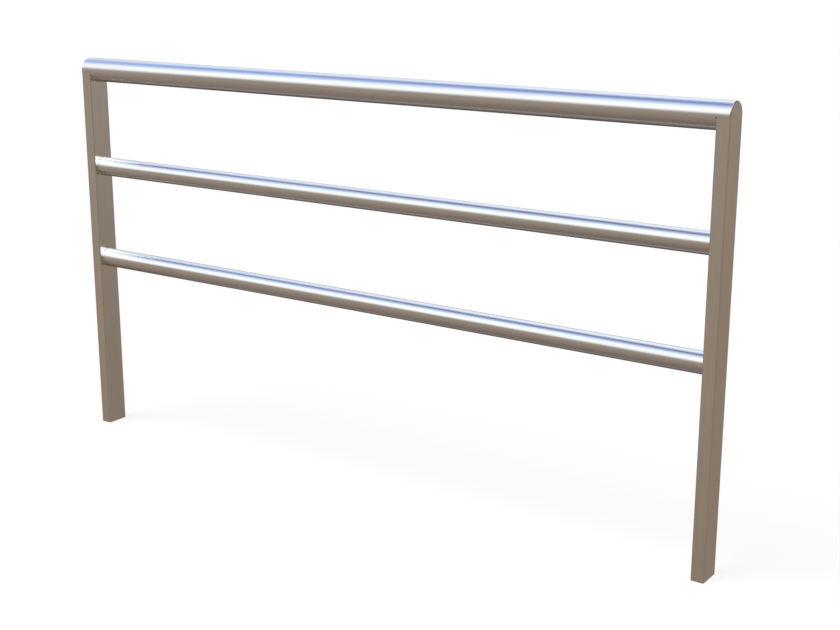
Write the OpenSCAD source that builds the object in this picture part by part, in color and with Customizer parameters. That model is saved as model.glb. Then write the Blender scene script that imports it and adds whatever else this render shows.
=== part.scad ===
// Pedestrian barrier: one welded bay of brushed stainless steel.
// Two posts of rectangular hollow section stand in the ground. A round top rail sits in a
// saddle cut across their heads, and two thinner round rails are welded between them.
// The origin is the centre of the left post's foot, +X runs along the barrier to the right
// post, +Y is the back and +Z is up.

/* [Overall] */
// Length over the outer faces of the two posts
overall_length = 1800; // [900:10:2600]
// Height from the posts' feet to the top of the top rail
overall_height = 1000; // [900:10:1500]

/* [Posts] */
// Width of a post along the barrier
post_width = 30; // [25:1:50]
// Depth of a post across the barrier
post_depth = 60; // [52:0.5:60]
// Outer radius of a post's corners and of the rounded rim of an end cap
corner_radius = 3; // [2.5:0.1:3.5]
// Thickness of the plate that closes a post's foot
foot_plate_thickness = 3; // [2:0.5:8]

/* [Rails] */
// Outer diameter of the top rail
top_rail_diameter = 60.3; // [60.3:0.1:76.1]
// Outer diameter of the middle and lower rails
rail_diameter = 48.3; // [33.7:0.1:50]
// Clear gap between one rail and the next
rail_gap = 200; // [100:1:240]
// Thickness of the plate that closes an end of the top rail
end_cap_thickness = 4; // [4:0.5:8]

/* [Tube and welds] */
// Wall thickness of the posts and rails
wall = 2; // [1.5:0.1:2.4]
// Leg of the dressed weld round the end of a rail
weld_leg = 1; // [1:0.1:2]

/* [Hidden] */
$fn = 96;

// How far a cutting shape runs past the faces that it cuts
overrun = 1;

// How far an end cap lies inside the front and back of the post that it sits in
cap_inset = 0.05;

top_rail_radius = top_rail_diameter / 2;
rail_radius = rail_diameter / 2;

// Places along the barrier
left_post_x = 0;
right_post_x = overall_length - post_width;
outer_left_x = -post_width / 2;
outer_right_x = outer_left_x + overall_length;
inner_left_x = post_width / 2;
inner_right_x = right_post_x - post_width / 2;
middle_x = right_post_x / 2;

// Where the top rail's tube ends and its end caps begin
left_cap_x = outer_left_x + end_cap_thickness;
right_cap_x = outer_right_x - end_cap_thickness;

// Heights of the rails' centre lines
top_rail_z = overall_height - top_rail_radius;
middle_rail_z = top_rail_z - top_rail_radius - rail_gap - rail_radius;
lower_rail_z = middle_rail_z - rail_diameter - rail_gap;

// The post's front and back faces meet the top rail this far below its centre line, as an angle
tip_angle = acos(post_depth / top_rail_diameter);

// Half the angle that the saddle weld runs round the rail, as far as the flat of the inner face
saddle_weld_half_angle = asin((post_depth / 2 - corner_radius) / (top_rail_radius + weld_leg));

// The weld round a thinner rail stays within the post's face
rail_weld_leg = min(weld_leg, post_depth / 2 - rail_radius);

STEEL = [0.60, 0.55, 0.50];
BRIGHT_STEEL = [0.74, 0.74, 0.76];
WELD = [0.66, 0.62, 0.58];

// A flat rectangle with round corners, centred on the origin
module rounded_rectangle(width, depth, radius) {
    square([width, depth - 2 * radius], center = true);
    square([width - 2 * radius, depth], center = true);
    for (x = [-1, 1], y = [-1, 1])
        translate([x * (width / 2 - radius), y * (depth / 2 - radius)])
            circle(r = radius);
}

// Turns a shape drawn along +Z so that it runs along +X
module along_x() {
    rotate([90, 0, 90]) children();
}

// Turns a shape drawn along +Z so that it runs along X, from x towards mid length
module towards_middle(x) {
    mirror([x < middle_x ? 0 : 1, 0, 0])
        along_x() children();
}

// Turns a shape drawn along +Z so that it runs along X, from x away from mid length
module away_from_middle(x) {
    mirror([x < middle_x ? 1 : 0, 0, 0])
        along_x() children();
}

// A round tube that runs along the barrier from from_x to to_x
module tube(radius, from_x, to_x, z) {
    length = to_x - from_x;
    translate([from_x, 0, z])
        along_x()
            difference() {
                cylinder(r = radius, h = length);
                translate([0, 0, -overrun])
                    cylinder(r = radius - wall, h = length + 2 * overrun);
            }
}

// A post of rectangular hollow section, its head cut to seat the top rail
module post(x) {
    color(STEEL)
        difference() {
            translate([x, 0, 0])
                linear_extrude(height = top_rail_z)
                    difference() {
                        rounded_rectangle(post_width, post_depth, corner_radius);
                        rounded_rectangle(
                            post_width - 2 * wall, post_depth - 2 * wall, corner_radius - wall
                        );
                    }
            translate([x - post_width / 2 - overrun, 0, top_rail_z])
                along_x()
                    cylinder(r = top_rail_radius, h = post_width + 2 * overrun);
        }
}

// A plate welded inside the foot of a post, flush with its cut end
module foot_plate(x) {
    color(STEEL)
        translate([x, 0, 0])
            linear_extrude(height = foot_plate_thickness)
                rounded_rectangle(
                    post_width - 2 * wall, post_depth - 2 * wall, corner_radius - wall
                );
}

module top_rail() {
    color(BRIGHT_STEEL)
        tube(top_rail_radius, left_cap_x, right_cap_x, top_rail_z);
}

module middle_rail() {
    color(BRIGHT_STEEL)
        tube(rail_radius, inner_left_x, inner_right_x, middle_rail_z);
}

module lower_rail() {
    color(BRIGHT_STEEL)
        tube(rail_radius, inner_left_x, inner_right_x, lower_rail_z);
}

// Half the section of an end cap: radius across, thickness up, its outer corner round
module rounded_cap_section() {
    square([top_rail_radius - corner_radius, end_cap_thickness]);
    square([top_rail_radius, end_cap_thickness - corner_radius]);
    translate([top_rail_radius - corner_radius, end_cap_thickness - corner_radius])
        intersection() {
            circle(r = corner_radius);
            square(corner_radius);
        }
}

// A plate on the end of the top rail, from its joint with the tube at x outwards.
// Its rim is round where it is free. Below, where it lies in a post's head, it has the
// outline of that post, so that the post's round corners run up into the rim.
module end_cap(x) {
    color(STEEL) {
        translate([x, 0, top_rail_z])
            away_from_middle(x)
                rotate_extrude(start = -tip_angle, angle = 180 + 2 * tip_angle)
                    rounded_cap_section();
        intersection() {
            translate([x, 0, top_rail_z])
                away_from_middle(x)
                    rotate_extrude(start = 180 + tip_angle, angle = 180 - 2 * tip_angle)
                        square([top_rail_radius, end_cap_thickness]);
            translate([x < middle_x ? left_post_x : right_post_x, 0, 0])
                linear_extrude(height = overall_height)
                    rounded_rectangle(post_width, post_depth - 2 * cap_inset, corner_radius);
        }
    }
}

// A weld fillet round a tube, standing on the plane z = 0
module weld_fillet(radius, leg, start_angle, angle) {
    rotate_extrude(start = start_angle, angle = angle)
        polygon([[radius, 0], [radius + leg, 0], [radius, leg]]);
}

// The weld round the whole end of a thinner rail, on the post's inner face at x
module rail_weld(x, z) {
    color(WELD)
        translate([x, 0, z])
            towards_middle(x) weld_fillet(rail_radius, rail_weld_leg, 0, 360);
}

// The weld below the top rail, on the flat of the post's inner face at x
module saddle_weld(x) {
    color(WELD)
        translate([x, 0, top_rail_z])
            towards_middle(x)
                weld_fillet(
                    top_rail_radius, weld_leg,
                    270 - saddle_weld_half_angle, 2 * saddle_weld_half_angle
                );
}

post(left_post_x);  // left_post
post(right_post_x);  // right_post
foot_plate(left_post_x);  // left_foot_plate
foot_plate(right_post_x);  // right_foot_plate
top_rail();
end_cap(left_cap_x);  // left_end_cap
end_cap(right_cap_x);  // right_end_cap
middle_rail();
lower_rail();
saddle_weld(inner_left_x);  // left_saddle_weld
saddle_weld(inner_right_x);  // right_saddle_weld
rail_weld(inner_left_x, middle_rail_z);  // left_middle_weld
rail_weld(inner_right_x, middle_rail_z);  // right_middle_weld
rail_weld(inner_left_x, lower_rail_z);  // left_lower_weld
rail_weld(inner_right_x, lower_rail_z);  // right_lower_weld
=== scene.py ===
# %% [markdown]
# # A pedestrian barrier in brushed stainless steel
# The barrier is one welded bay: two posts of rectangular tube, a round top rail that lies in
# a saddle cut across their heads, and two thinner rails between them. The construction model
# already holds every true shape, so it is loaded first and never moved. What is left to make
# here is the finish of the steel, the beads of weld, the stage, the light and the camera.

# %% Load the construction model
import math

import bpy
import numpy as np
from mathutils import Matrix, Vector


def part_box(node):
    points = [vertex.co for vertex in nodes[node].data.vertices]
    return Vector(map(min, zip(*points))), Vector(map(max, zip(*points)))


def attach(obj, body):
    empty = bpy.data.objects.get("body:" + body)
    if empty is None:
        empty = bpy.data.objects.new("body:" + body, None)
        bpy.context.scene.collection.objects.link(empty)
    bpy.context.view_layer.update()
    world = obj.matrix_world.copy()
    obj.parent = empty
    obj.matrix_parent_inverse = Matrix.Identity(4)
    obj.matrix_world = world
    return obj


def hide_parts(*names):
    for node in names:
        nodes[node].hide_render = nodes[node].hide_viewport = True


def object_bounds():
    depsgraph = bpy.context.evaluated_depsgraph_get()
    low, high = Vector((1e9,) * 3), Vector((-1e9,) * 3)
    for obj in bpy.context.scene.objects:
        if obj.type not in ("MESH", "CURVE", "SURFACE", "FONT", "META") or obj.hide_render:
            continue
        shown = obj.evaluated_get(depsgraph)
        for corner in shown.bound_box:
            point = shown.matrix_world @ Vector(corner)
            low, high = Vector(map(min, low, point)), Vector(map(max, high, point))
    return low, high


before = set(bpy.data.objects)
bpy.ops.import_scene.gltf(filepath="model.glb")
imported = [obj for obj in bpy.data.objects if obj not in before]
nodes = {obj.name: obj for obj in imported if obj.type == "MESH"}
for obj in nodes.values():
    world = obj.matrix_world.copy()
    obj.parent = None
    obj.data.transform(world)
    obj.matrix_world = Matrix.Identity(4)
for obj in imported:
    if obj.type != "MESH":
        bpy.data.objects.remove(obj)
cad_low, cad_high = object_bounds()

print("construction nodes:", ", ".join(sorted(nodes)))
print("construction box in metres:", [round(v, 4) for v in (*cad_low, *cad_high)])

# %% [markdown]
# A material in Blender is a tree of small nodes. Adding them one by one makes a long script
# that is hard to read, so two small classes do it here. A `Wire` is the output of a node, and
# sums on it, such as `1 - mask`, add Math nodes. A `Finish` is a tree, and its `node` method
# adds any kind of node: its type, then its settings, then the values or wires of its sockets.

# %% A wire that can be used in sums
class Wire:
    """The output of a node. Sums on it add Math nodes to the tree it belongs to."""

    def __init__(self, finish, made, which=0):
        self.finish, self.made, self.which = finish, made, which

    def output(self, which):
        """Another output of the same node."""
        return Wire(self.finish, self.made, which)

    def socket(self):
        return self.made.outputs[self.which]

    def maths(self, operation, first, second):
        settings = {"operation": operation}
        return self.finish.node("Math", settings, {0: first, 1: second})

    def __add__(self, other):
        return self.maths("ADD", self, other)

    def __radd__(self, other):
        return self.maths("ADD", other, self)

    def __sub__(self, other):
        return self.maths("SUBTRACT", self, other)

    def __rsub__(self, other):
        return self.maths("SUBTRACT", other, self)

    def __mul__(self, other):
        return self.maths("MULTIPLY", self, other)

    def __rmul__(self, other):
        return self.maths("MULTIPLY", other, self)


# %% A tree of nodes
def as_rgba(colour):
    """A plain colour with its alpha, or a wire as it is."""
    return colour if isinstance(colour, Wire) else (*colour, 1.0)


class Finish:
    """The node tree of a material or of the world."""

    def __init__(self, owner):
        owner.use_nodes = True
        self.tree = owner.node_tree
        self.tree.nodes.clear()

    def node(self, kind, settings=None, sockets=None, output=0):
        """Adds a node of a type, sets its settings, then its sockets, and gives its output."""
        made = self.tree.nodes.new("ShaderNode" + kind)
        for name, value in (settings or {}).items():
            if name == "stops":
                self.set_stops(made.color_ramp, value)
            else:
                setattr(made, name, value)
        for name, value in (sockets or {}).items():
            if isinstance(value, Wire):
                self.tree.links.new(value.socket(), made.inputs[name])
            else:
                made.inputs[name].default_value = value
        return Wire(self, made, output)

    def set_stops(self, ramp, stops):
        """Gives a ramp its (place, colour) stops."""
        while len(ramp.elements) < len(stops):
            ramp.elements.new(0.5)
        for element, (place, colour) in zip(ramp.elements, stops):
            element.position = place
            element.color = (*colour, 1.0)

    def mix(self, mask, colour_0, colour_1):
        """A colour that goes from colour_0 to colour_1 as the mask goes from 0 to 1. A Mix node
        keeps its colours in sockets 6 and 7 and gives the mixed one as output 2."""
        sockets = {0: mask, 6: as_rgba(colour_0), 7: as_rgba(colour_1)}
        return self.node("Mix", {"data_type": "RGBA"}, sockets, output=2)


# %% [markdown]
# Brushed steel is bright metal under thousands of hair-thin scratches that all run one way.
# An image of scratches would have to be wrapped round every piece, and would repeat. Noise
# does neither, and it looks brushed when it is pulled out along one axis: its coordinates are
# divided by a long distance along the brushing and by a short one across it. The coordinates
# are the Object ones, so that the scratches have their real size on every piece.

# %% Noise pulled out along an axis
X_AXIS, Y_AXIS, Z_AXIS = 0, 1, 2


def streaks(finish, axis, width, length, detail=3.0, roughness=0.6):
    """Noise whose grains are `width` across and `length` along the axis, in metres."""
    place = finish.node("TexCoord", output="Object")
    scale = [1.0 / width] * 3
    scale[axis] = 1.0 / length
    stretched = finish.node("VectorMath", {"operation": "MULTIPLY"}, {0: place, 1: scale})
    sockets = {"Vector": stretched, "Scale": 1.0, "Detail": detail, "Roughness": roughness}
    return finish.node("TexNoise", {"noise_dimensions": "3D"}, sockets)


def contrast(finish, value, zero_at, one_at):
    """0 where the value is zero_at, 1 where it is one_at, even in between and level beyond."""
    span = {"From Min": zero_at, "From Max": one_at, "To Min": 0.0, "To Max": 1.0}
    return finish.node("MapRange", {"clamp": True}, {"Value": value, **span})


def between(finish, value, low, high, soft):
    """1 from low to high and 0 outside, with a soft edge on both sides."""
    return contrast(finish, value, low - soft, low) - contrast(finish, value, high, high + soft)


# %% [markdown]
# All of the steel is one alloy, so one recipe serves the posts, rails, caps and plates. It
# takes the direction of the brushing and how bright the piece was polished. Three layers of
# streaks do the work: hair lines for the bump and roughness, broader lines for the tone, and
# slow clouds for the places where hands and rain have dulled it. A steel is metallic all
# through, so its base colour is the colour of its reflections.
#
# The round corners of a tube get a painted shade: their colour is made a little darker. A
# corner shows in the surface's own normal, which turns there from facing along the barrier to
# facing across it. The same test finds the rim of an end cap above the post's head, which gets
# a stronger painted shade, a thin dark line.
#
# The weld below the top rail runs out at the front and back edges of a post. There, on the
# right post, a small dark spot of painted shade stands for the shade in the crevice between post
# and rail. At the left post the rails were ground once more after welding. This leaves them a
# little duller, and the shoulders of the two thinner ones get a painted highlight, a pale tone.
# The spots and the highlight are colour and the dullness is roughness, each kept in its place
# by a mask.

# %% Places of the spots of painted shade and of the ground ends with their painted highlight
rail_low, rail_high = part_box("top_rail")
post_low, post_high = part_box("right_post")
top_radius = (rail_high.z - rail_low.z) / 2
run_out = math.sqrt(top_radius ** 2 - post_high.y ** 2)
run_out_z = rail_high.z - top_radius - run_out
left_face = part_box("left_post")[1].x
# The spots of painted shade where the right post's corners meet the top rail lie here.
print("pin holes at x", round(post_low.x, 4), "z", round(run_out_z, 4), "metres")
# The ground ends start at the left post's inner face. They are rougher, with a painted highlight
# on the thinner rails' shoulders.
print("rails ground from x", round(left_face, 4), "metres")

# %% Masks for the painted shade on round corners and for all above a height
def corner_shade_mask(finish):
    """1 on a corner and 0 on the flats. With t the sixth power of the normal's share along X,
    it is 4 t (1 - t), which is highest 27 degrees away from facing along X."""
    normal = finish.node("TexCoord", output="Normal")
    along = finish.node("SeparateXYZ", None, {0: normal}, output="X")
    t = finish.node("Math", {"operation": "POWER"}, {0: along * along, 1: 3.0})
    return 4.0 * t * (1.0 - t)


def above(finish, height, soft):
    """0 below a height and 1 above it, with a soft edge."""
    place = finish.node("TexCoord", output="Object")
    up = finish.node("SeparateXYZ", None, {0: place}, output="Z")
    return contrast(finish, up, height, height + soft)


# %% Mask for the spots of painted shade
SHADE_SPOT_RADIUS = 0.0010
SHADE_SPOT_EDGE = 0.0024


def shade_spot_mask(finish):
    """1 in a spot of painted shade and 0 from its soft edge on. It takes the distance to the
    nearer of the two spots, which it finds by folding the back onto the front."""
    place = finish.node("TexCoord", output="Object")
    between_shade_spots = (post_low.x, 0.0, run_out_z)
    centred = finish.node("VectorMath", {"operation": "SUBTRACT"}, {0: place, 1: between_shade_spots})
    folded = finish.node("VectorMath", {"operation": "ABSOLUTE"}, {0: centred})
    sockets = {0: folded, 1: (0.0, post_high.y, 0.0)}
    distance = finish.node("VectorMath", {"operation": "DISTANCE"}, sockets, output="Value")
    return contrast(finish, distance, SHADE_SPOT_EDGE, SHADE_SPOT_RADIUS)


# %% Masks for the ground ends and their painted highlight
GROUND_AND_HIGHLIGHT_REACH = 0.16
HIGHLIGHT_SHOULDER_SPAN = (0.55, 0.80)
HIGHLIGHT_SHOULDER_SOFT = 0.12
BELOW_TOP_RAIL = 0.02


def ground_and_highlight_mask(finish):
    """1 at the left post's inner face and 0 from the ground end's reach on. It makes the end
    rougher and bounds the painted highlight on the thinner rails' shoulders.
    """
    place = finish.node("TexCoord", output="Object")
    along = finish.node("SeparateXYZ", None, {0: place}, output="X")
    return contrast(finish, along, left_face + GROUND_AND_HIGHLIGHT_REACH, left_face)


def highlight_shoulder_mask(finish):
    """1 on the two shoulders of the thinner rails, where a painted highlight goes, and 0
    elsewhere.
    A shoulder faces up aslant, so that the normal's share along Z lies in a span."""
    normal = finish.node("TexCoord", output="Normal")
    up = finish.node("SeparateXYZ", None, {0: normal}, output="Z")
    thinner = 1.0 - above(finish, rail_low.z - BELOW_TOP_RAIL, BELOW_TOP_RAIL / 2)
    return between(finish, up, *HIGHLIGHT_SHOULDER_SPAN, HIGHLIGHT_SHOULDER_SOFT) * thinner


# %% Recipe for brushed steel
HAIR_SIZE, LINE_SIZE, CLOUD_SIZE = (0.0005, 0.09), (0.004, 0.7), (0.11, 0.35)
TONE_SPAN, CLOUD_SPAN = (0.32, 0.68), (0.35, 0.70)
LINE_SHARE, HAIR_SHARE = 0.6, 0.4
DULLING, HAIR_ROUGHNESS, GROUND_ROUGHNESS = 0.05, 0.05, 0.09
HAIR_DEPTH = 0.00005
# The tone of the spots of painted shade, and the pale tone of the painted highlight on the
# thinner rails' shoulders.
SHADE_SPOT_TONE, SHOULDER_HIGHLIGHT_TONE = (0.08, 0.07, 0.05), (0.75, 0.72, 0.68)
# Lift and soft edge of the painted shade on a cap's rim above the post's head.
RIM_SHADE_LIFT, RIM_SHADE_SOFT = 0.001, 0.006


def brushed_steel(name, axis, roughness, tones, edge, corner_shade=1.0, bump=0.12, rim_shade_line=False,
                  ground=False):
    """Steel brushed along an axis: tone, roughness and bump all follow the same streaks. The
    round corners get a painted shade, the darker tone times a share, and on a cap only on its
    rim above the post's head. `edge` is what a face seen edge-on keeps of its shine. Each steel
    also takes the spots of painted shade where the right post's corners meet the top rail. A
    rail has a ground end, which is rougher and gives the thinner rails a painted highlight on
    their shoulders."""
    material = bpy.data.materials.new(name)
    finish = Finish(material)
    hairs = streaks(finish, axis, *HAIR_SIZE)
    lines = streaks(finish, axis, *LINE_SIZE, detail=2.0)
    clouds = streaks(finish, axis, *CLOUD_SIZE, detail=2.0)

    tone = contrast(finish, lines * LINE_SHARE + hairs * HAIR_SHARE, *TONE_SPAN)
    brushed = finish.mix(tone, *tones)
    # Painted shade: the round corners take the darker tone times the corner share.
    shaded_corner_tone = tuple(corner_shade * part for part in tones[0])
    corners = corner_shade_mask(finish)
    # On a cap the painted shade stays on its rim above the post's head, a thin dark line.
    if rim_shade_line:
        corners = corners * above(finish, run_out_z + RIM_SHADE_LIFT, RIM_SHADE_SOFT)
    colour = finish.mix(corners, brushed, shaded_corner_tone)
    # Painted shade: a small dark spot where the right post's corners meet the top rail.
    colour = finish.mix(shade_spot_mask(finish), colour, SHADE_SPOT_TONE)
    dulling = contrast(finish, clouds, *CLOUD_SPAN)
    rough = roughness + dulling * DULLING + hairs * HAIR_ROUGHNESS
    if ground:
        end = ground_and_highlight_mask(finish)
        rough = rough + end * GROUND_ROUGHNESS
        # Painted highlight: at the ground end the shoulders of the thinner rails take a pale
        # tone.
        colour = finish.mix(end * highlight_shoulder_mask(finish), colour, SHOULDER_HIGHLIGHT_TONE)
    sockets = {"Strength": bump, "Distance": HAIR_DEPTH, "Height": hairs}
    normal = finish.node("Bump", None, sockets)
    shader = finish.node("BsdfPrincipled", None, {
        "Base Color": colour, "Metallic": 1.0, "Roughness": rough,
        "Specular Tint": (edge, edge, edge, 1.0), "Normal": normal,
    })
    finish.node("OutputMaterial", None, {"Surface": shader})
    print("made", name)
    return material


# %% The four steels
POST_TONES = ((0.480, 0.414, 0.353), (0.540, 0.466, 0.399))
RAIL_TONES = ((0.470, 0.421, 0.374), (0.530, 0.475, 0.422))

post_steel = brushed_steel("post_steel", Z_AXIS, 0.11, POST_TONES, edge=0.85, corner_shade=0.95)
rail_steel = brushed_steel(
    "rail_steel", X_AXIS, 0.15, RAIL_TONES, edge=0.70, bump=0.06, ground=True)
cap_steel = brushed_steel(
    "cap_steel", Z_AXIS, 0.11, POST_TONES, edge=0.85, corner_shade=0.25, rim_shade_line=True)
weld_steel = brushed_steel("weld_steel", Y_AXIS, 0.38, POST_TONES, edge=0.70)

# %% Put the steel on the construction nodes
finish_of = {
    "left_post": post_steel, "right_post": post_steel,
    "left_foot_plate": cap_steel, "right_foot_plate": cap_steel,
    "left_end_cap": cap_steel, "right_end_cap": cap_steel,
    "top_rail": rail_steel, "middle_rail": rail_steel, "lower_rail": rail_steel,
}
for name, material in finish_of.items():
    nodes[name].data.materials.clear()
    nodes[name].data.materials.append(material)
print("steel put on", len(finish_of), "nodes")

# %% [markdown]
# Where a rail meets a post the maker runs a bead of weld round the joint and then dresses it
# down, which leaves a narrow fillet with the faint crescents of the weld pool in it. The
# construction model has a plain fillet of the right size there. A bead could be shaped by hand
# from a ring, six times over. Here it is a surface of two parameters, the angle round the rail
# and the way round the bead's section, so that one formula fits all three rails exactly.

# %% Section of a weld bead
FACE_SHARE = 0.7
SIDE_SHARE = 0.15
ROOT_DEPTH = 0.0001


def bead_section(radius, leg, across, hollow):
    """The bead's closed section as (distance from the rail's axis, height off the post's face).
    The first 0.7 of `across` is the free face, a straight line from the toe on the post to the
    toe on the rail, sunk by `hollow` times a half sine. The rest goes straight down the rail to
    the root and straight out along the post to where it began, a hair inside both of them."""
    free = np.clip(across / FACE_SHARE, 0.0, 1.0)
    down = np.clip((across - FACE_SHARE) / SIDE_SHARE, 0.0, 1.0)
    outwards = np.clip((across - (1.0 - SIDE_SHARE)) / SIDE_SHARE, 0.0, 1.0)
    sunk = hollow * np.sin(math.pi * free) * math.sqrt(0.5)
    reach = leg + ROOT_DEPTH
    distance = radius + leg * (1.0 - free) - sunk - ROOT_DEPTH * down + reach * outwards
    height = leg * free - sunk - reach * down + ROOT_DEPTH * outwards
    return distance, height


# %% Surface of a weld bead
FULL_TURN = 2 * math.pi
HOLLOW_SHARE = 0.1
RIPPLE_PITCH = 0.0024
RIPPLE_HEIGHT = 0.00002
RIPPLE_BOW = 0.18


def bead_surface(face_x, side, axis_z, radius, leg, start, sweep, steps=288, section_steps=28):
    """Points of a bead round a rail: the section above, swept by an angle round the rail's
    axis. Its hollow is a tenth of the leg plus a cosine ripple whose crests bow backwards."""
    closed = sweep >= FULL_TURN
    turn = np.linspace(0.0, 1.0, steps, endpoint=not closed)[:, None]
    across = np.linspace(0.0, 1.0, section_steps, endpoint=False)[None, :]
    ripples = round(radius * sweep / RIPPLE_PITCH)
    bow = RIPPLE_BOW * (2.0 * across / FACE_SHARE - 1.0) ** 2
    ripple = 0.5 - 0.5 * np.cos(FULL_TURN * (ripples * turn + bow))
    hollow = HOLLOW_SHARE * leg + RIPPLE_HEIGHT * ripple
    distance, height = bead_section(radius, leg, across, hollow)
    angle = start + sweep * turn
    x = face_x + side * height
    y = distance * np.cos(angle)
    z = axis_z + distance * np.sin(angle)
    return np.stack([x, y, z], axis=-1), closed


# %% Turn a grid of points into a piece
SHARP_ANGLE = math.radians(40)


def piece_from_grid(name, points, closed, flip):
    """A mesh whose sections are closed rings. The rings join up, or end in a flat cap."""
    rings, around = points.shape[:2]
    index = np.arange(rings * around).reshape(rings, around)
    after = np.roll(index, -1, axis=1)
    last = rings if closed else rings - 1
    near, far = np.arange(last), (np.arange(last) + 1) % rings
    quads = np.stack([index[near], index[far], after[far], after[near]], axis=-1).reshape(-1, 4)
    faces = quads.tolist()
    if not closed:
        faces += [index[0].tolist(), index[-1][::-1].tolist()]
    if flip:
        faces = [face[::-1] for face in faces]
    mesh = bpy.data.meshes.new(name)
    mesh.from_pydata(points.reshape(-1, 3).tolist(), [], faces)
    mesh.shade_smooth()
    mesh.set_sharp_from_angle(angle=SHARP_ANGLE)
    piece = bpy.data.objects.new(name, mesh)
    bpy.context.scene.collection.objects.link(piece)
    return piece


# %% Lay the six beads
def lay_bead(node, rail, start, sweep):
    """Replaces a fillet of the construction model by a bead of the same size and place."""
    low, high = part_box(node)
    tube_low, tube_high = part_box(rail)
    radius = (tube_high.z - tube_low.z) / 2
    leg = high.x - low.x
    side = 1.0 if node.startswith("left") else -1.0
    face_x = low.x if side > 0 else high.x
    axis_z = (tube_high.z + tube_low.z) / 2
    points, closed = bead_surface(face_x, side, axis_z, radius, leg, start, sweep)
    piece = piece_from_grid(node + "_bead", points, closed, flip=side < 0)
    piece.data.materials.append(weld_steel)
    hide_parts(node)
    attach(piece, "root")
    print(piece.name, "leg", round(leg * 1000, 2), "mm, faces", len(piece.data.polygons))


for end in ("left", "right"):
    lay_bead(end + "_middle_weld", "middle_rail", 0.0, FULL_TURN)
    lay_bead(end + "_lower_weld", "lower_rail", 0.0, FULL_TURN)
    saddle_low, saddle_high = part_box(end + "_saddle_weld")
    half = math.asin(saddle_high.y / (top_radius + saddle_high.x - saddle_low.x))
    lay_bead(end + "_saddle_weld", "top_rail", -math.pi / 2 - half, 2 * half)

# %% [markdown]
# Polished metal has hardly any look of its own: it shows the room. An image of a room could
# stand round it, but then nobody could say which light makes which band. In a studio metal
# goes into a tent of white cloth, parts of which are lit more than others. The tent here is a
# long tube round the barrier, and one angle says where a line along it lies: 0 degrees is level
# on the viewer's side, 90 is overhead and 180 is level behind.
#
# The rails and the fronts of the posts look to the left half of the tent. Going up, it is
# plain, bright white at shoulder height, blue like a clear sky overhead, paler behind and dark
# near the floor. The right-hand faces of the posts look to the right half, which is duller.
# Cloth is never quite even, so towards its two far ends each half glows a little differently.
# Only reflections see the tent, so it neither hides the white room nor lights it.
#
# Where two pieces meet, each mirrors the other, and light is lost twice. A joint would look
# dirty, so a ray that has been mirrored twice sees two more things: a bright window in the
# right half, for the ends of the rails, and a pale blue sheet low down in the left half, for
# the image of one rail in the next. Light Path's Ray Depth counts the mirrors.

# %% The tent's shape
TENT_RADIUS = 10.0
TENT_REACH = 200.0
middle = (cad_low + cad_high) / 2


def long_tube(name, radius, reach, steps=96):
    """A tube along X: y and z go once round a circle of the radius about the barrier."""
    turn = np.linspace(0.0, FULL_TURN, steps, endpoint=False)
    ends = np.array([middle.x - reach, middle.x + reach])
    x, angle = np.meshgrid(ends, turn, indexing="ij")
    points = [x, -radius * np.cos(angle), middle.z + radius * np.sin(angle)]
    index = np.arange(2 * steps).reshape(2, steps)
    after = np.roll(index, -1, axis=1)
    faces = np.stack([index[0], after[0], after[1], index[1]], axis=-1)
    mesh = bpy.data.meshes.new(name)
    mesh.from_pydata(np.stack(points, axis=-1).reshape(-1, 3).tolist(), [], faces.tolist())
    piece = bpy.data.objects.new(name, mesh)
    bpy.context.scene.collection.objects.link(piece)
    return piece


# %% Glow of the tent's left half by angle
LEFT_GLOW = [
    (-90, (0.38, 0.36, 0.36)), (-78, (0.32, 0.29, 0.28)), (-60, (0.35, 0.31, 0.29)),
    (-45, (0.41, 0.36, 0.33)), (-18, (0.53, 0.48, 0.42)), (2, (0.55, 0.53, 0.50)),
    (13, (0.66, 0.67, 0.70)), (25, (1.86, 2.05, 2.32)), (34, (2.02, 2.30, 2.60)),
    (52, (1.94, 2.28, 2.60)), (62, (1.55, 1.90, 2.53)), (78, (0.78, 1.06, 1.85)),
    (89, (0.44, 0.66, 1.42)), (96, (0.32, 0.46, 1.02)), (107, (0.66, 0.92, 1.64)),
    (122, (1.62, 2.02, 2.72)), (145, (1.76, 2.10, 2.56)), (158, (1.60, 1.86, 2.18)),
    (172, (0.62, 0.74, 0.90)), (184, (0.36, 0.38, 0.41)), (200, (0.22, 0.20, 0.19)),
    (236, (0.22, 0.20, 0.19)), (252, (0.38, 0.37, 0.38)), (264, (0.42, 0.40, 0.42)),
    (270, (0.38, 0.36, 0.36)),
]
FAR_LEFT_SHARE = [
    (-90, 1.12), (-60, 1.28), (-30, 1.08), (0, 1.03), (22, 0.88), (36, 0.98), (75, 1.06),
    (96, 1.75), (112, 1.12), (135, 0.82), (170, 0.84), (200, 1.00), (270, 1.12),
]

# %% Glow of the tent's right half by angle
RIGHT_GLOW = [
    (-90, (0.52, 0.48, 0.48)), (-45, (0.47, 0.42, 0.38)), (36, (0.47, 0.42, 0.37)),
    (54, (1.55, 1.72, 1.95)), (86, (1.05, 1.30, 1.80)), (112, (1.55, 1.72, 1.95)),
    (130, (0.50, 0.48, 0.46)), (150, (0.36, 0.32, 0.28)), (162, (0.36, 0.32, 0.28)),
    (172, (0.74, 0.75, 0.78)), (184, (0.53, 0.475, 0.415)), (198, (0.49, 0.425, 0.365)),
    (225, (0.42, 0.37, 0.335)), (270, (0.52, 0.48, 0.48)),
]
FAR_RIGHT_SHARE = [
    (-90, (1.00, 1.00, 1.00)), (178, (1.00, 1.00, 1.00)), (186, (1.02, 1.13, 1.32)),
    (190, (0.97, 1.07, 1.19)), (196, (0.95, 1.04, 1.10)), (210, (0.96, 1.02, 1.07)),
    (225, (1.00, 1.00, 1.00)), (270, (1.00, 1.00, 1.00)),
]

# %% A colour that goes by the angle
GLOW_TOP = 2.8
SHARE_TOP = 2.0


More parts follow.
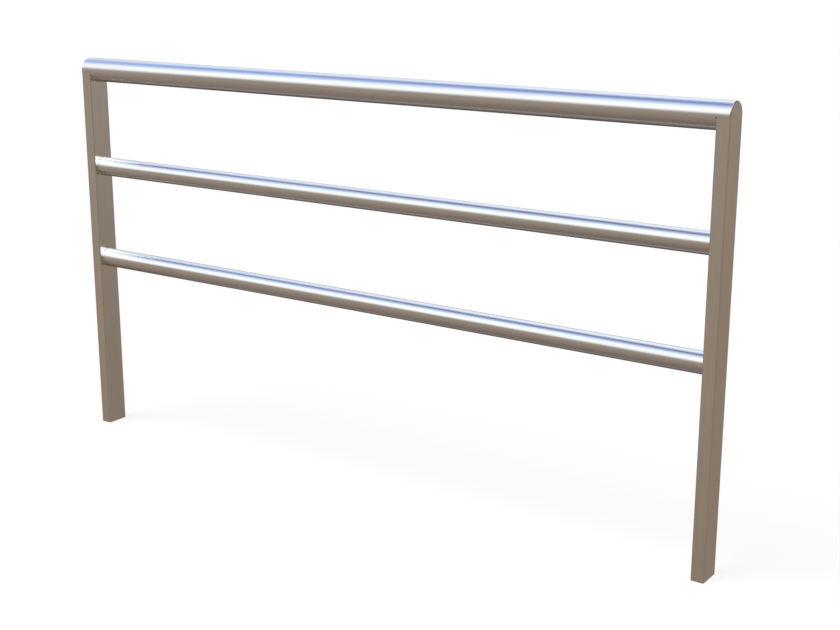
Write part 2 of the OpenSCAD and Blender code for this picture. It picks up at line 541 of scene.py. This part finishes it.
def as_turn(degrees):
    """An angle as a share of the turn from -90 to 270 degrees."""
    return (degrees + 90) / 360


def by_angle(finish, turn, colour_by_angle, top):
    """A ramp of colours over one turn. A ramp ends at 1, so it holds each colour as a share of
    `top`, and what comes out of it is scaled up again."""
    stops = [
        (as_turn(degrees), tuple(part / top for part in colour))
        for degrees, colour in colour_by_angle
    ]
    ramp = finish.node("ValToRGB", {"stops": stops}, {"Fac": turn})
    return finish.node("VectorMath", {"operation": "SCALE"}, {0: ramp, "Scale": top})


def half_tent(finish, turn, glow, far_share, far):
    """Half of the cloth: its glow by angle, which is multiplied by a share by angle where the
    mask `far` is 1."""
    near = by_angle(finish, turn, glow, GLOW_TOP)
    share = by_angle(finish, turn, far_share, SHARE_TOP)
    product = finish.node("VectorMath", {"operation": "MULTIPLY"}, {0: near, 1: share})
    return finish.mix(far, near, product)


# %% The window and the sheet, which only rays mirrored twice see
WINDOW_GLOW = (5.6, 7.3, 9.7)
WINDOW_SPAN, WINDOW_SOFT = (7.5, 13.0), 1.0
WINDOW_ANGLES, WINDOW_ANGLE_SOFT = (20, 152), 0.02
SHEET_GLOW = (0.68, 0.94, 1.45)
SHEET_OFF_OVERHEAD = (0.345, 0.370)


def window_mask(finish, along, turn):
    """1 in the window: a span along the barrier times a span of angles."""
    first, last = (as_turn(degrees) for degrees in WINDOW_ANGLES)
    beside = between(finish, along, *WINDOW_SPAN, WINDOW_SOFT)
    return beside * between(finish, turn, first, last, WINDOW_ANGLE_SOFT)


def sheet_mask(finish, turn):
    """1 on the sheet, which is all that lies far enough, in turns, from overhead."""
    off_overhead = finish.node("Math", {"operation": "ABSOLUTE"}, {0: turn - 0.5})
    return contrast(finish, off_overhead, *SHEET_OFF_OVERHEAD)


# %% Cloth of the tent
FAR_LEFT, FAR_RIGHT = (-4.5, -11.0), (6.5, 8.5)
HALVES_MEET = (0.0, 1.0)


def tent_cloth():
    """Cloth whose glow depends on the angle round the barrier and the way along it, which is
    in metres from the barrier's middle."""
    material = bpy.data.materials.new("tent_cloth")
    finish = Finish(material)
    place = finish.node("TexCoord", output="Object")
    parts = finish.node("SeparateXYZ", None, {0: place})
    along, up = parts.output("X") - middle.x, parts.output("Z") - middle.z
    angle = finish.node("Math", {"operation": "ARCTAN2"}, {0: parts.output("Y"), 1: up})
    turn = 0.5 + angle * (0.5 / math.pi)

    grey_share = [(degrees, (share, share, share)) for degrees, share in FAR_LEFT_SHARE]
    far_left = contrast(finish, along, *FAR_LEFT)
    far_right = contrast(finish, along, *FAR_RIGHT)
    left = half_tent(finish, turn, LEFT_GLOW, grey_share, far_left)
    right = half_tent(finish, turn, RIGHT_GLOW, FAR_RIGHT_SHARE, far_right)
    in_right = contrast(finish, along, *HALVES_MEET)
    cloth = finish.mix(in_right, left, right)

    twice = contrast(finish, finish.node("LightPath", output="Ray Depth"), 1.0, 2.0)
    sheet = sheet_mask(finish, turn) * (1.0 - in_right)
    cloth = finish.mix(twice * sheet, cloth, SHEET_GLOW)
    cloth = finish.mix(twice * window_mask(finish, along, turn), cloth, WINDOW_GLOW)
    shader = finish.node("Emission", None, {"Color": cloth, "Strength": 1.0})
    finish.node("OutputMaterial", None, {"Surface": shader})
    material.cycles.emission_sampling = "NONE"
    return material


# %% Hang the tent
tent = long_tube("tent", TENT_RADIUS, TENT_REACH)
tent.data.materials.append(tent_cloth())
tent.visible_camera = tent.visible_diffuse = tent.visible_shadow = False
print("hung a tent", 2 * TENT_RADIUS, "metres wide and", 2 * TENT_REACH, "metres long")

# %% [markdown]
# The barrier stands on a plain pale floor in a white room. Both are white where the camera
# looks, but a part of the floor is real paint that takes the light, so that the posts still
# throw a soft shadow. Lamps could make the floor white too, but they would be so strong that
# they bleach the barrier, so the floor and the room glow by themselves instead.

# %% Room
WHITE = (1.0, 1.0, 1.0, 1.0)
ROOM_LIGHT = 0.6


def seen_directly(finish):
    """1 where the camera, a reflection or a view through glass looks, and 0 elsewhere."""
    path = finish.node("LightPath")
    seen = path.output("Is Camera Ray") + path.output("Is Glossy Ray")
    return seen + path.output("Is Transmission Ray")


room = bpy.data.worlds.new("white_room")
bpy.context.scene.world = room
finish = Finish(room)
strength = ROOM_LIGHT + seen_directly(finish) * (1.0 - ROOM_LIGHT)
shader = finish.node("Background", None, {"Color": WHITE, "Strength": strength})
finish.node("OutputWorld", None, {"Surface": shader})
room.cycles.sampling_method = "NONE"
print("room lights the barrier at", ROOM_LIGHT, "of white")

# %% Paint of the floor
FLOOR_GLOW = 0.75
GLOW_STRENGTH = 1.04
PAINT_COLOUR = (0.9, 0.9, 0.9, 1.0)

floor_paint = bpy.data.materials.new("floor_paint")
finish = Finish(floor_paint)
paint = finish.node("BsdfDiffuse", None, {"Color": PAINT_COLOUR})
glow = finish.node("Emission", None, {"Color": WHITE, "Strength": GLOW_STRENGTH})
mask = seen_directly(finish) * FLOOR_GLOW
mixed = finish.node("MixShader", None, {0: mask, 1: paint, 2: glow})
finish.node("OutputMaterial", None, {"Surface": mixed})
floor_paint.cycles.emission_sampling = "NONE"
print("made", floor_paint.name, "with", round(1.0 - FLOOR_GLOW, 2), "of real paint")

# %% Floor
FLOOR_HALF = 60.0

floor_mesh = bpy.data.meshes.new("floor")
corners = [(-FLOOR_HALF, -FLOOR_HALF, 0.0), (FLOOR_HALF, -FLOOR_HALF, 0.0),
           (FLOOR_HALF, FLOOR_HALF, 0.0), (-FLOOR_HALF, FLOOR_HALF, 0.0)]
floor_mesh.from_pydata(corners, [], [(0, 1, 2, 3)])
floor = bpy.data.objects.new("floor", floor_mesh)
bpy.context.scene.collection.objects.link(floor)
floor.data.materials.append(floor_paint)
floor.visible_glossy = False
print("floor is", 2 * FLOOR_HALF, "metres wide")

# %% One soft lamp for the shadow
LAMP_TILT, LAMP_TURN = math.radians(28), math.radians(-35)

lamp_data = bpy.data.lights.new("soft_lamp", "SUN")
lamp_data.angle = math.radians(30)
lamp_data.energy = 1.5
soft_lamp = bpy.data.objects.new("soft_lamp", lamp_data)
bpy.context.scene.collection.objects.link(soft_lamp)
soft_lamp.rotation_euler = (LAMP_TILT, 0.0, LAMP_TURN)
soft_lamp.visible_glossy = False
print("lamp stands at", [round(math.degrees(a)) for a in (LAMP_TILT, LAMP_TURN)], "degrees")

# %% [markdown]
# The camera stands in front of the barrier, beyond its right end and a little higher than its
# top rail, so that a front, an inner face and an outer face show at once. The Standard view
# transform shows a colour as it is written.

# %% Camera and view
CAMERA_PLACE = (2.816, -2.558, 1.287)
LOOK_DOWN, LOOK_ROLL, LOOK_LEFT = 14.87, -0.10, 34.74

camera_data = bpy.data.cameras.new("camera")
camera_data.lens = 59.70
camera_data.sensor_width = 36.0
camera_data.clip_end = 200.0
camera = bpy.data.objects.new("camera", camera_data)
bpy.context.scene.collection.objects.link(camera)
camera.location = CAMERA_PLACE
camera.rotation_euler = [math.radians(a) for a in (90.0 - LOOK_DOWN, LOOK_ROLL, LOOK_LEFT)]
bpy.context.scene.camera = camera
bpy.context.scene.view_settings.view_transform = "Standard"
print("camera at", CAMERA_PLACE, "looks down by", LOOK_DOWN, "degrees")
